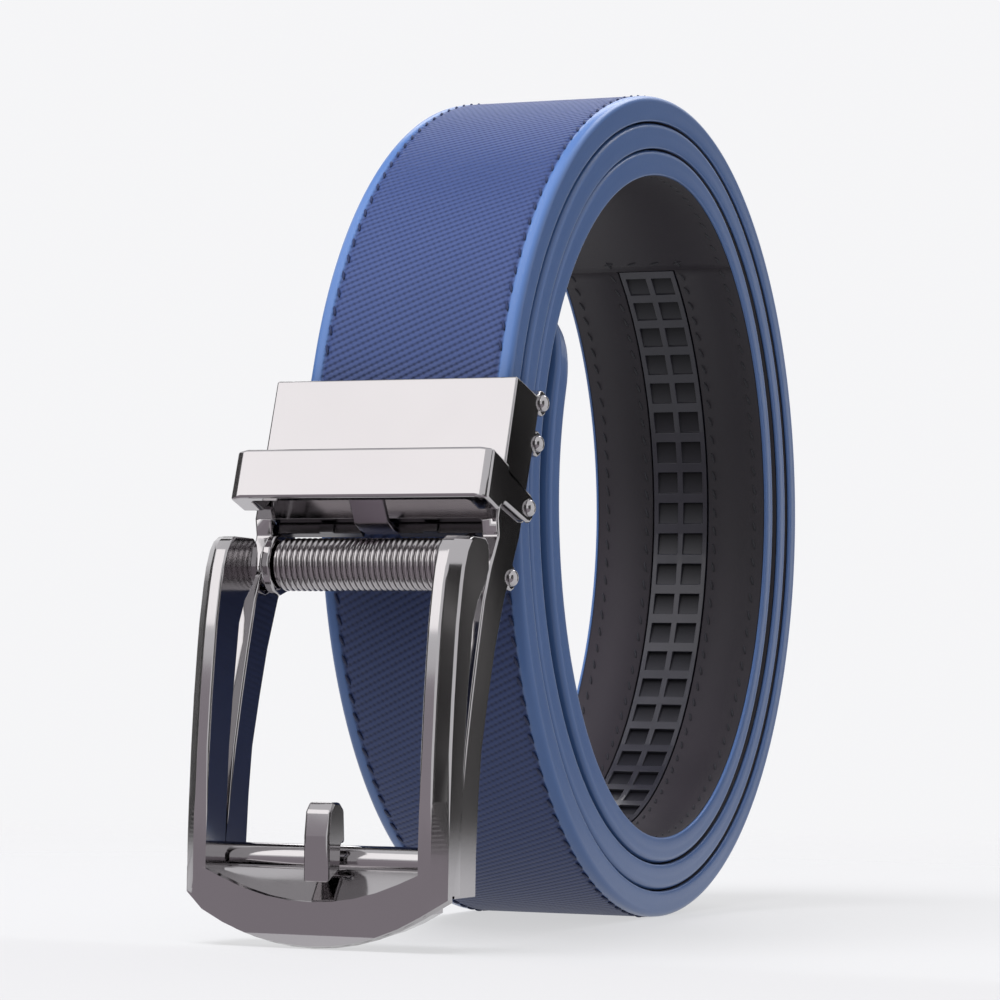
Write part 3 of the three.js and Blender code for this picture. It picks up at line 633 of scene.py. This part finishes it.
# The pins and rivets: turned steel with domed heads, set through the side walls. There are three rivets on
# each side, one pin for the lever and another, without heads, for the roller.
PIN_SIDES = 32
HEAD_RADIUS = 1.38
HEAD_HEIGHT = 0.97
SHANK_RADIUS = 0.93
RIVET_END = 18.45
RIVET_SEAT = 20.8
LEVER_PIN_SEAT = 21.8
ROLLER_PIN_RADIUS = 1.29


def turned_mesh(name, profile, place, sides):
    """A lathe shape about an axis along X, from points of { along X, radius } in mm."""
    rings = len(profile)
    angles = np.linspace(0, 2 * math.pi, sides, endpoint=False)
    points = [
        (x, place[0] + r * math.cos(a), place[1] + r * math.sin(a)) for x, r in profile for a in angles
    ]
    faces = []
    for k in range(rings - 1):
        for i in range(sides):
            j = (i + 1) % sides
            faces.append((k * sides + i, k * sides + j, (k + 1) * sides + j, (k + 1) * sides + i))
    faces.append(tuple(range(sides)))
    faces.append(tuple(range((rings - 1) * sides, rings * sides)))
    mesh = bpy.data.meshes.new(name)
    mesh.from_pydata([(x * MM, y * MM, z * MM) for x, y, z in points], [], faces)
    outwards(mesh)
    mesh.polygons.foreach_set("use_smooth", [True] * len(faces))
    mesh.set_sharp_from_angle(angle=math.radians(35))
    return mesh


def node_axis(node):
    """The middle of a node in Y and Z, in mm."""
    low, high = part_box(node)
    return (low.y + high.y) / 2 / MM, (low.z + high.z) / 2 / MM


def dome(seat, steps=8):
    """Points of { along X, radius } of a domed head that rises outwards from its seat."""
    angles = np.linspace(0, 0.97 * math.pi / 2, steps)
    return [(seat + HEAD_HEIGHT * math.sin(a), HEAD_RADIUS * math.cos(a)) for a in angles]


def show_pin(name, node, profile, sides=PIN_SIDES):
    pin = turned_mesh(node, profile, node_axis(node), sides)
    show(name, pin, gunmetal, node, slot="buckle_metal")


for node in [n for n in sorted(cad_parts) if n.startswith("rivet_")]:
    hand = 1 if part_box(node)[0].x > 0 else -1
    shank = [(RIVET_END, SHANK_RADIUS), (RIVET_SEAT, SHANK_RADIUS)]
    show_pin(node + "_head", node, [(hand * x, r) for x, r in shank + dome(RIVET_SEAT)])
head = dome(LEVER_PIN_SEAT)
shank = [(-LEVER_PIN_SEAT, SHANK_RADIUS), (LEVER_PIN_SEAT, SHANK_RADIUS)]
show_pin("lever_pin_turned", "lever_pin", [(-x, r) for x, r in reversed(head)] + shank + head)
low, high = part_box("roller_pin")
ends = [(low.x / MM, ROLLER_PIN_RADIUS), (high.x / MM, ROLLER_PIN_RADIUS)]
show_pin("roller_pin_turned", "roller_pin", ends, 40)

# The roller: a steel sleeve turned with close round ribs, which guides the strap's free end. It runs
# free on its pin between the two hubs.
ROLLER_RADIUS = 4.2
ROLLER_HALF_LENGTH = 15.45
SLEEVE_INSET = 0.42
RIB_RADIUS = 0.43
RIB_PITCH = 0.95
RIB_COUNT = 32


def roller_tree(material):
    kinds = {"Rib radius": "Float", "Roller radius": "Float", "Pitch": "Float", "Count": "Int"}
    tree, given = open_tree("roller_ribs", kinds)
    values = {"Resolution": 48, "Radius": given["Roller radius"] - given["Rib radius"]}
    ring = add_node(tree, "GeometryNodeCurvePrimitiveCircle", {}, values)
    values = {"Resolution": 8, "Radius": given["Rib radius"]}
    wire = add_node(tree, "GeometryNodeCurvePrimitiveCircle", {}, values)
    rib = add_node(tree, "GeometryNodeCurveToMesh", {}, {"Curve": ring, "Profile Curve": wire})
    rib = add_node(tree, "GeometryNodeTransform", {}, {"Geometry": rib, "Rotation": (0, math.pi / 2, 0)})
    rib = add_node(tree, "GeometryNodeSetShadeSmooth", {}, {"Geometry": rib})
    step = add_node(tree, "ShaderNodeCombineXYZ", {}, {"X": given["Pitch"]})
    line = add_node(tree, "GeometryNodeMeshLine", {}, {"Count": given["Count"], "Offset": step})
    ribs = add_node(tree, "GeometryNodeInstanceOnPoints", {}, {"Points": line, "Instance": rib})
    join_node = tree.nodes.new("GeometryNodeJoinGeometry")
    tree.links.new(ribs.socket, join_node.inputs[0])
    tree.links.new(given["Geometry"].socket, join_node.inputs[0])
    close_tree(tree, Value(tree, join_node.outputs[0]), material)
    return tree


ribbed = gunmetal_finish("roller_steel", (0.44, 0.42, 0.43), 0.16)
core = ROLLER_RADIUS - SLEEVE_INSET
ends = [(-ROLLER_HALF_LENGTH, core), (ROLLER_HALF_LENGTH, core)]
sleeve = turned_mesh("sleeve", ends, (0, 0), 48)
first_rib = -(RIB_COUNT - 1) * RIB_PITCH / 2
sleeve.transform(Matrix.Translation((-first_rib * MM, 0, 0)))
sizes = {"Rib radius": RIB_RADIUS * MM, "Roller radius": ROLLER_RADIUS * MM, "Pitch": RIB_PITCH * MM}
sizes["Count"] = RIB_COUNT
mesh = grown("roller", sleeve, roller_tree(ribbed), sizes)
axis_y, axis_z = node_axis("roller")
mesh.transform(Matrix.Translation((first_rib * MM, axis_y * MM, axis_z * MM)))
show("roller_ribbed", mesh, ribbed, "roller", body="roller", slot="buckle_metal")

# The prong tip: a short fixed finger cast on the crossbar. It only looks like a prong, because the strap
# has no holes.
prong = worked_copy("prong", "prong_tip", 0.45, 3)
show("prong_tip_polished", prong, gunmetal, "prong_tip", slot="buckle_metal")

# The stage: a pale floor that fades into the backdrop, soft light all round, and cards that only the
# metal sees, as a photographer sets them to shape its reflections.
FLOOR_SIZE = 12.0
FLOOR_FADE = (0.06, 0.5)


def flat_mesh(name, width, height):
    x, y = width / 2, height / 2
    mesh = bpy.data.meshes.new(name)
    mesh.from_pydata([(-x, -y, 0), (x, -y, 0), (x, y, 0), (-x, y, 0)], [], [(0, 1, 2, 3)])
    return mesh


floor = put_in_scene("floor", flat_mesh("floor", FLOOR_SIZE, FLOOR_SIZE))
material, tree, shader = new_finish("floor", roughness=0.6, specular_ior_level=0.1, emission_strength=0.58)
shader.inputs["Base Color"].default_value = (0.10, 0.10, 0.105, 1)
shader.inputs["Emission Color"].default_value = (1, 1, 1.01, 1)
away = add_node(tree, "ShaderNodeVectorMath", {"operation": "LENGTH"}, {0: object_place(tree)}, "Value")
values = {"Value": away, "From Min": FLOOR_FADE[0], "From Max": FLOOR_FADE[1]}
fade = add_node(tree, "ShaderNodeMapRange", {"interpolation_type": "SMOOTHSTEP"}, values)
clear = tree.nodes.new("ShaderNodeBsdfTransparent")
mixer = tree.nodes.new("ShaderNodeMixShader")
tree.links.new(fade.socket, mixer.inputs[0])
tree.links.new(shader.outputs[0], mixer.inputs[1])
tree.links.new(clear.outputs[0], mixer.inputs[2])
tree.links.new(mixer.outputs[0], tree.nodes["Material Output"].inputs[0])
floor.data.materials.append(material)
floor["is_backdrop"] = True

world = bpy.data.worlds.new("studio")
bpy.context.scene.world = world
world.use_nodes = True
sky = world.node_tree.nodes["Background"]
sky.inputs["Color"].default_value = (0.965, 0.965, 0.98, 1)
sky.inputs["Strength"].default_value = 0.95
bpy.context.scene.view_settings.view_transform = "Standard"

PALE = (1.0, 0.985, 0.98)
MAUVE = (1.04, 0.94, 1.03)
STREAK_PITCH = 0.034
CARDS = (
    {"name": "key_box", "at": (-0.206, -0.473, 0.384), "faces": (0.374, 0.715, -0.589), "size": (0.5, 0.4),
     "light": 1.85, "streak": 0.0, "tint": PALE},
    {"name": "dark_back", "at": (0.2, 0.378, 0.09), "faces": (-0.4, -0.915, -0.06), "size": (0.2, 0.7),
     "light": 0.0, "streak": 0.3, "tint": PALE},
    {"name": "dark_left", "at": (-0.49, -0.13, 0.11), "faces": (1, 0.1, -0.1), "size": (0.6, 0.5),
     "light": 0.02, "streak": 0.5, "tint": PALE},
    {"name": "dark_right", "at": (0.44, -0.4, 0.07), "faces": (-0.9, 0.42, -0.02), "size": (0.5, 0.6),
     "light": 0.02, "streak": 0.5, "tint": PALE},
    {"name": "grey_front", "at": (-0.254, -0.624, 0.06), "faces": (0.42, 0.9, 0), "size": (0.6, 0.2),
     "light": 0.4, "streak": 0.0, "tint": MAUVE},
    {"name": "grey_low", "at": (-0.1, -0.312, 0.002), "faces": (0, 0, 1), "size": (0.7, 0.4),
     "light": 0.36, "streak": 0.0, "tint": MAUVE},
    {"name": "dark_top", "at": (-0.2, 0.2, 0.48), "faces": (0, 0, -1), "size": (0.4, 0.25),
     "light": 0.02, "streak": 0.0, "tint": PALE},
)
for card in CARDS:
    board = put_in_scene(card["name"], flat_mesh(card["name"], *card["size"]))
    turn = Vector(card["faces"]).to_track_quat("Z", "Y").to_matrix().to_4x4()
    board.matrix_world = Matrix.Translation(card["at"]) @ turn
    unlit = {"base_color": (0, 0, 0, 1), "specular_ior_level": 0.0, "emission_strength": 1.0}
    glow, tree, shader = new_finish(card["name"], **unlit)
    wave = object_noise(tree, 9.0, 1.0)
    sideways = add_node(tree, "ShaderNodeSeparateXYZ", {}, {"Vector": object_place(tree)})
    streak = ripple(sideways / STREAK_PITCH + wave * 0.8, 1).math("POWER", 9.0)
    light = streak * card["streak"] + card["light"]
    shares = {k: light * share for k, share in enumerate(card["tint"])}
    feed(tree, shader, emission_color=add_node(tree, "ShaderNodeCombineXYZ", {}, shares))
    board.data.materials.append(glow)
    board.visible_camera = False
    board.visible_diffuse = False
    board.visible_shadow = False
    board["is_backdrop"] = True

LAMPS = (
    {"name": "softbox", "at": (-0.25, -0.3, 1.05), "size": (0.8, 0.6), "watts": 27.0, "glossy": False},
    {"name": "top_back", "at": (-0.1, 0.5, 0.65), "size": (0.6, 0.3), "watts": 1.5, "glossy": True},
)
for row in LAMPS:
    lamp = bpy.data.lights.new(row["name"], "AREA")
    lamp.shape = "RECTANGLE"
    lamp.size, lamp.size_y = row["size"]
    lamp.energy = row["watts"]
    holder = put_in_scene(row["name"], lamp)
    holder.location = row["at"]
    holder.rotation_euler = (Vector((0, 0, 0.07)) - holder.location).to_track_quat("-Z", "Y").to_euler()
    holder.visible_glossy = row["glossy"]

# The camera stands where the photograph was taken: low, in front and a little to the right. It looks
# almost level at the middle of the coil.
lens = bpy.data.cameras.new("camera")
lens.sensor_width = 36
lens.lens = 128.47
lens.clip_start = 0.05
lens.clip_end = 50
camera = put_in_scene("camera", lens)
right = Vector((0.92718, 0.37430, 0.01523))
upward = Vector((0.00686, -0.05762, 0.99831))
back = Vector((0.37454, -0.92552, -0.05600))
standpoint = Vector((0.22679, -0.59787, 0.03760))
rows = [[right[i], upward[i], back[i], standpoint[i]] for i in range(3)]
camera.matrix_world = Matrix(rows + [[0, 0, 0, 1]])
bpy.context.scene.camera = camera

low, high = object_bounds()
